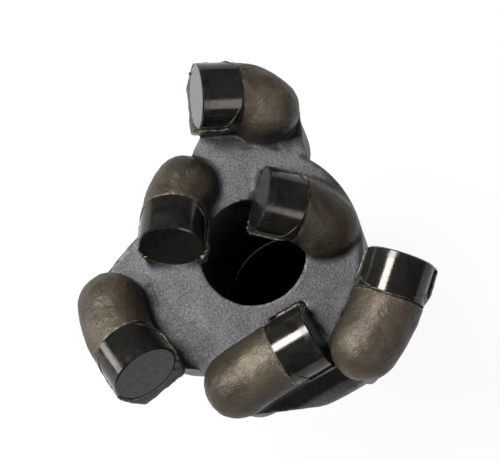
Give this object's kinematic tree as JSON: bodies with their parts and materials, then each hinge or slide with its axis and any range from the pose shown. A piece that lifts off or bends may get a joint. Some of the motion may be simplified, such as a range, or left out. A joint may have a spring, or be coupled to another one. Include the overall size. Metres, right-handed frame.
{
  "type": "pdc drill bit",
  "caption": "Three-wing concave rock drill bit: steel body with a central water hole and brazed round diamond cutters on humped seats.",
  "frame": {"origin": "centre of the rear thread bore in the plane of the flat rear face", "axes": "+Z along the bit axis from the rear face to the crown; the bit cuts turning counter-clockwise about +Z"},
  "size_m": [0.0865, 0.0855, 0.1116],
  "materials": {
    "body_steel": "shot-blasted dark steel, olive-brown from brazing heat on the cutter seats",
    "carbide": "ground and polished dark tungsten carbide",
    "diamond": "lapped near-black polycrystalline diamond",
    "braze": "dull silver braze"
  },
  "bodies": {
    "root": {"bit_body": "body_steel", "inner_1_braze": "braze", "inner_1_carbide": "carbide", "inner_1_diamond": "diamond", "inner_2_braze": "braze", "inner_2_carbide": "carbide", "inner_2_diamond": "diamond", "inner_3_braze": "braze", "inner_3_carbide": "carbide", "inner_3_diamond": "diamond", "outer_1_braze": "braze", "outer_1_carbide": "carbide", "outer_1_diamond": "diamond", "outer_2_braze": "braze", "outer_2_carbide": "carbide", "outer_2_diamond": "diamond", "outer_3_braze": "braze", "outer_3_carbide": "carbide", "outer_3_diamond": "diamond"}
  },
  "joints": []
}
